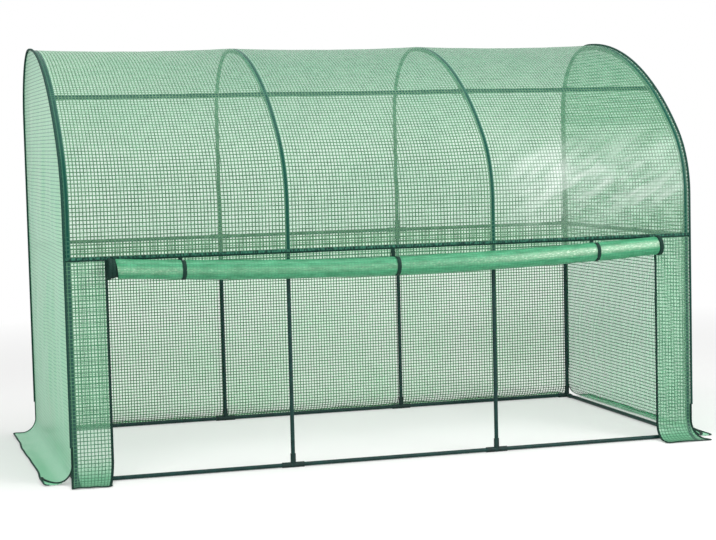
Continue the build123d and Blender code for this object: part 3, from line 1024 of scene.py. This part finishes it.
def rolled_film_mesh():
    """The wound film between the bindings, uneven and creased, and drawn in by its ties."""
    rings, points_around = 300, 56
    angles = np.linspace(0, 2 * math.pi, points_around, endpoint=False)
    share, angle = np.meshgrid(np.linspace(0, 1, rings), angles, indexing="ij")
    low = -roll_half + binding_turn * (2.45 - 0.55 * np.sin(angle))
    high = roll_half - binding_turn
    x = low + (high - low) * share
    around_y, around_z = 0.06 * np.cos(angle), 0.06 * np.sin(angle)
    radius = roll_radius - 0.0012 + 0.0016 * uneven(x, around_y + around_z, 0.5, 61)
    crease = uneven(x * 0.35 + around_z, around_y * 1.6 + around_z, 0.035, 62)
    radius = radius + 0.0007 * crease + 0.0005 * uneven(x, around_y * 3 + around_z * 2, 0.03, 63)
    radius = radius + 0.0009 * near_ties(x, 0.06) * np.sin(angle * 9 + uneven(x, around_y, 0.2, 64) * 2)
    radius = radius - 0.0032 * near_ties(x, 0.013)
    ends = eased((x - low) / 0.01) * eased((high - x) / 0.01)
    radius = radius - 0.004 * (1 - ends)
    points = roll_place(x, angle, radius).reshape(-1, 3)
    flat = np.stack([x, angle * roll_radius], -1).reshape(-1, 2)
    faces = ring_faces(rings, points_around)[:, ::-1]
    return plain_mesh("rolled_door_film", points, faces, rolled_film, flat)


def wound_binding(name, side, turns):
    """The bound door edge wound up with the roll: stepped turns, a grooved end and the hole of its core."""
    count = 72
    profile = [(0.05, roll_core), (0.0, roll_core), (0.0, roll_core + 0.001)]
    for radius in np.arange(roll_core + 0.004, roll_radius - 0.004, 0.004):
        profile += [(0.0012, radius - 0.0012), (-0.0002, radius), (0.0012, radius + 0.0008)]
    for turn in range(turns):
        radius = roll_radius + rim_rise - binding_step * turn
        near, far = binding_turn * turn, binding_turn * (turn + 1)
        rising = [(near + 0.0004, radius - 0.0012), (near + 0.0014, radius - 0.0001), (near + 0.005, radius)]
        falling = [(far - 0.0045, radius - 0.0002), (far - 0.0012, radius - 0.0006), (far, radius - 0.0018)]
        profile += rising + falling
    profile = np.array(profile + [(binding_turn * turns + 0.006, roll_radius - 0.009)])
    angle = np.linspace(0, 2 * math.pi, count, endpoint=False)
    inward, radius = (np.repeat(profile[:, i][:, None], count, 1) for i in (0, 1))
    grooved = (inward < 0.002) & (radius > roll_core + 0.003) & (radius < roll_radius - 0.004)
    spiral = np.where(grooved, angle[None, :] / (2 * math.pi) * 0.004, 0)
    ruffle = 0.0004 * np.sin(angle * 23)[None, :] * (inward > 0.002)
    around = np.broadcast_to(angle, inward.shape)
    x = side * roll_half - side * inward
    points = roll_place(x, around, radius - spiral * 0.8 + ruffle).reshape(-1, 3)
    faces = ring_faces(len(profile), count)
    return plain_mesh(name, points, faces[:, ::-1] if side > 0 else faces, dark_tape)


def tie_line(x):
    """Once round the roll from its back, then up behind it to the seam."""
    count, tail_count = 60, 8
    angle = np.linspace(math.radians(8), math.radians(352), count)
    squeeze = roll_radius - 0.0012 + 0.0006 * np.sin(angle * 3 + x * 5)
    level_loop = roll_place(np.full(count, x), angle, squeeze)
    facing = roll_place(np.full(count, x), angle, squeeze + 1) - level_loop
    slant = 0.004 * np.sin(angle / 2 * 1.3 + x)
    loop = level_loop + slant[:, None] * np.array([1, 0, 0])
    tail_y = np.linspace(roll_y + roll_radius, -0.7661, tail_count)
    tail_z = np.linspace(roll_height(np.array(x)) + 0.004, 0.993, tail_count)
    return [(loop, facing), (np.stack([np.full(tail_count, x), tail_y, tail_z], -1), (0, -1, 0))]


def door_part(piece, node):
    """A piece of the rolled door, with the node that it stands for."""
    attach(piece, "root")
    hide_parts(node)


door_part(rolled_film_mesh(), "rolled_door")
for (side, word), turns in zip(sides, (3, 1)):
    door_part(wound_binding(word + "_wound_binding", side, turns), "door_edge_bindings")
for word, x in zip(("left", "middle", "right"), bay_places):
    tie = tape(word + "_tie_strap", tie_line(x), dark_tape, 0.018, 0.0015)
    door_part(tie, word + "_door_tie")


# Seam band, zip tapes, piping, hems and bindings

def level_line(y, reach, facing, up=0.0):
    """A straight seam along the wall at the bars, a little uneven."""
    count = 180
    x = np.linspace(-reach, reach, count)
    return np.stack([x, np.full(count, y), bar_height + up + 0.0006 * uneven(x, 0 * x, 0.22, 71)], -1), facing


def corner_line(side):
    """Up a front corner from its slit, over the end hoop and down the back corner, with the ways it faces."""
    y, z, out_y, out_z = hoop_line(np.linspace(0, cover_length(film_face), 260), film_face + corner_step)
    rise = np.linspace(corner_slit, bar_height, 60)[:-1]
    post = np.ones(len(rise))
    line_y = np.concatenate([y[0] * post, y, y[-1] * post])
    line_z = np.concatenate([rise, z, rise[::-1]])
    line_x = np.full(len(line_y), side * (half_length + film_face + corner_step))
    facing_y = np.concatenate([-post, out_y, post])
    facing_z = np.concatenate([0 * post, out_z, 0 * post])
    facing = np.stack([np.full(len(line_y), float(side)), facing_y, facing_z], -1) / math.sqrt(2)
    return np.stack([line_x, line_y, line_z], -1), facing


def zip_run(side, inset, top, foot):
    """A line down the door edge of a front strip, this far in from it."""
    x = side * (door_half + inset)
    return edge_run(strip_shape(side), [(x, bar_height - top), (x, lowest_level + foot)])


to_front, to_back = (0, -1, 0), (0, 1, 0)
seam_y = -half_depth - film_face - 0.0006
seam_band = tape("seam_band", [level_line(seam_y, end_x, to_front)], seam_tape, seam_width, 0.0012)
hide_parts("door_seam_band")
seam_rows = [level_line(seam_y, end_x - 0.004, to_front, up) for up in (-0.006, 0.006)]
trims = [seam_band, stitches("seam_stitches", seam_rows, 0.0013, 0.0008)]

for side, word in sides:
    tape_run = zip_run(side, zip_tape_inset, 0.009, 0.004)
    zip_tape = tape(word + "_zip_tape_band", [tape_run], dark_tape, 0.012, 0.0012, 0.0009)
    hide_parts(word + "_zip_tape")
    teeth = laid(
        word + "_zip_teeth", [zip_run(side, zip_teeth_inset, 0.012, 0.02)], stitch_lay, moulded_plastic,
        Spacing=0.0034, Length=0.0019, Thread=0.0032, Lift=0.0022,
    )
    zip_rows = [zip_run(side, inset, 0.012, 0.02) for inset in zip_stitch_insets]
    zip_stitches = stitches(word + "_zip_stitches", zip_rows, 0.0011, 0.0016)

    strip_foot = np.vstack([strip_outline(side)[:-2], (side * end_x, corner_slit)])
    strip_run = edge_run(strip_shape(side), strip_foot, 0.006)
    strip_hem = tape(word + "_strip_binding", [strip_run], dark_tape, 0.01, 0.0042, 0.0016)
    end_edge = end_outline()
    end_foot = np.vstack([end_edge[-corner_points:], end_edge[:corner_points], (end_y, corner_slit)])
    end_run = edge_run(end_shape(side), end_foot, 0.006)
    end_hem = tape(word + "_end_hem", [end_run], edge_tape, 0.009, 0.0036, 0.0014)
    front_curve = rounded_corner((-end_y, lowest_level + 0.004), (0, 0.13), (0.2, 0.004))
    front_run = edge_run(end_shape(side), np.vstack([(-end_y, corner_slit), front_curve]), 0.005)
    end_binding = tape(word + "_end_binding", [front_run], dark_tape, 0.014, 0.005, 0.0018)

    piping = tape(word + "_corner_piping", [corner_line(side)], edge_tape, 0.0105, 0.0105)
    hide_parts(word + "_edge_piping")
    trims += [zip_tape, teeth, zip_stitches, strip_hem, end_hem, end_binding, piping]

back_foot = [(-end_x, corner_slit), (-end_x, lowest_level), (end_x, lowest_level), (end_x, corner_slit)]
back_hem = tape("back_hem_binding", [edge_run(back_shape, back_foot, 0.01)], edge_tape, 0.009, 0.0036, 0.0014)
back_seam = level_line(half_depth + film_face + 0.0004, end_x, to_back)
trims += [back_hem, tape("back_seam_tape", [back_seam], dark_tape, 0.007, 0.001)]
for trim in trims:
    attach(trim, "root")


# Floor, background and lights

def looked_at(tree):
    """1 for what the camera sees, straight or by way of gloss or glass."""
    seen = tree.nodes.new("ShaderNodeLightPath").outputs
    straight = larger(tree, seen["Is Camera Ray"], seen["Is Glossy Ray"])
    return larger(tree, straight, seen["Is Transmission Ray"])


def shown(tree, share, soft, white, output):
    """A soft surface with its share of plain white."""
    mixed = added(tree, "ShaderNodeMixShader", {0: share, 1: soft.outputs[0], 2: white.outputs[0]})
    joined(tree, mixed.outputs[0], tree.nodes[output].inputs["Surface"])


def pale_floor():
    """A plain pale floor that stays white in the picture and keeps the shadow."""
    finish, tree, skin = new_finish("pale floor", 0.1, 0.7)
    joined(tree, (0.86, 0.86, 0.85), skin["Base Color"])
    place, _ = coordinates(tree)
    distance = added(tree, "ShaderNodeVectorMath", {0: place}, operation="LENGTH").outputs["Value"]
    share = plus(tree, 0.3, times(tree, ramp(tree, distance, 2.5, 7), 0.7))
    glow = tree.nodes.new("ShaderNodeEmission")
    shown(tree, times(tree, share, looked_at(tree)), tree.nodes["Principled BSDF"], glow, "Material Output")
    half = 30
    corners = [(-half, -half, 0), (half, -half, 0), (half, half, 0), (-half, half, 0)]
    plain_mesh("floor", corners, [(0, 1, 2, 3)], finish)


def white_surroundings(level):
    """White where it is looked at, and a softer level for the light it gives."""
    studio.world = bpy.data.worlds.new("white studio")
    studio.world.use_nodes = True
    tree = studio.world.node_tree
    soft = tree.nodes["Background"]
    joined(tree, (1, 1, 1), soft.inputs["Color"])
    soft.inputs["Strength"].default_value = level
    white = added(tree, "ShaderNodeBackground", {"Color": (1, 1, 1)})
    shown(tree, looked_at(tree), soft, white, "World Output")


def soft_light(name, place, aim, size, watts):
    """A soft box that faces its aim."""
    data = bpy.data.lights.new(name, "AREA")
    data.shape = "RECTANGLE"
    data.size, data.size_y = size
    data.energy = watts
    lamp = put_up(name, data)
    lamp.location = place
    lamp.rotation_euler = (Vector(aim) - Vector(place)).to_track_quat("-Z", "Y").to_euler()


photo_camera()
pale_floor()
white_surroundings(0.6)
soft_light("front right soft box", (2.8, -3.7, 3.5), (0.6, -0.7, 1.3), (2.0, 1.2), 110)
soft_light("front left soft box", (-4.0, -4.5, 2.8), (-0.5, 0, 1.0), (2.4, 1.8), 110)
soft_light("roll soft box", (4.4, -8.4, 2.5), (0.8, -0.8, 0.95), (0.9, 0.5), 160)
soft_light("top soft box", (0, -0.3, 4.8), (0, 0, 1.5), (4.0, 3.0), 150)
studio.view_settings.view_transform = "Standard"
